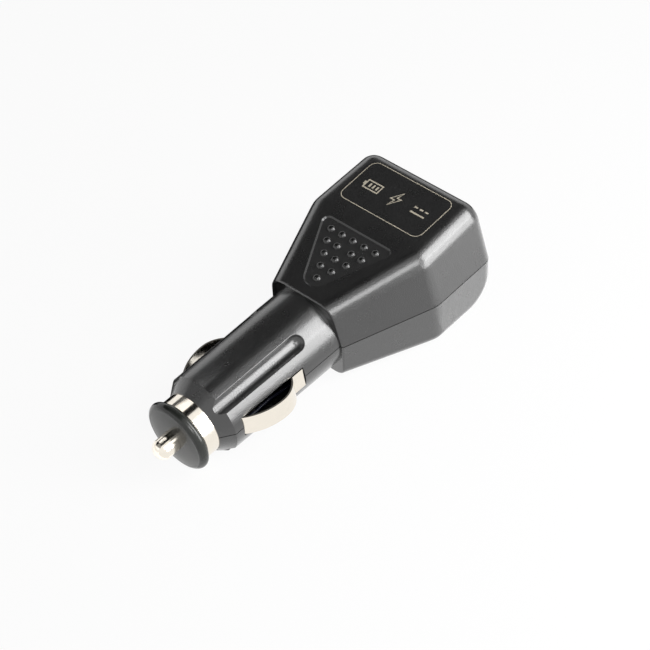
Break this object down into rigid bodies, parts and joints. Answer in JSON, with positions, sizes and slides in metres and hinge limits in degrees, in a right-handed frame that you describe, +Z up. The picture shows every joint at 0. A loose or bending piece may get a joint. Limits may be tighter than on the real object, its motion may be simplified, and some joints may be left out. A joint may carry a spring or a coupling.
{
  "type": "car usb charger plug",
  "caption": "Lighter-socket charger plug: flared black head with a bumped grip panel, fluted barrel, bowed side contacts, sprung nose pin and a rear outlet socket.",
  "frame": {"origin": "on the plug's axis in the plane of the head's front face, where the barrel's full round land ends", "axes": "+X along the plug's axis from the nose pin to the outlet, +Z up through the face with the grip bumps, +Y to the left of someone looking along +X"},
  "size_m": [0.0901, 0.0394, 0.0287],
  "materials": {
    "shell_plastic": "fine moulded grain, satin",
    "nickel": "bright nickel plate",
    "disc_plastic": "plain satin",
    "fuse_glass": "clear",
    "solder_wire": "drawn wire",
    "spring_steel": "drawn wire",
    "terminal_brass": "stamped strip",
    "lead_sleeve": "smooth sleeve",
    "board_laminate": "green resist",
    "socket_steel": "tin plate",
    "tongue_plastic": "plain white",
    "contact_gold": "gold plate",
    "can_sleeve": "shrunk sleeve",
    "ferrite": "sintered",
    "copper": "enamelled wire",
    "chip_resin": "moulded resin",
    "chip_ceramic": "fired ceramic"
  },
  "bodies": {
    "body": {"upper_shell": "shell_plastic", "lower_shell": "shell_plastic", "nose_collar": "nickel", "nose_disc": "disc_plastic", "contact_spring": "spring_steel", "supply_terminal": "terminal_brass", "ground_wires": "lead_sleeve", "circuit_board": "board_laminate", "usb_shell": "socket_steel", "usb_tongue": "tongue_plastic", "usb_contacts": "contact_gold", "input_capacitor": "can_sleeve", "output_capacitor": "can_sleeve", "inductor_core": "ferrite", "inductor_winding": "copper", "controller_chip": "chip_resin", "rectifier_diode": "chip_resin", "chip_parts": "chip_ceramic"},
    "tip": {"center_pin": "nickel", "fuse_front_cap": "nickel", "fuse_tube": "fuse_glass", "fuse_wire": "solder_wire", "fuse_rear_cap": "nickel"},
    "left_contact": {"left_contact": "nickel"},
    "right_contact": {"right_contact": "nickel"}
  },
  "joints": [
    {"name": "tip_press", "type": "slide", "parent": "body", "child": "tip", "axis": [1, 0, 0], "range_m": [0, 0.003], "stiffness_N_per_m": 700, "springref_m": -0.002, "deforming": ["contact_spring"]},
    {"name": "left_contact_press", "type": "hinge", "parent": "body", "child": "left_contact", "pos_m": [-0.0307, 0.0088, 0], "axis": [0, 0, -1], "range_deg": [0, 18], "stiffness_Nm_per_rad": 0.15},
    {"name": "right_contact_press", "type": "hinge", "parent": "body", "child": "right_contact", "pos_m": [-0.0307, -0.0088, 0], "axis": [0, 0, 1], "range_deg": [0, 18], "stiffness_Nm_per_rad": 0.15}
  ]
}
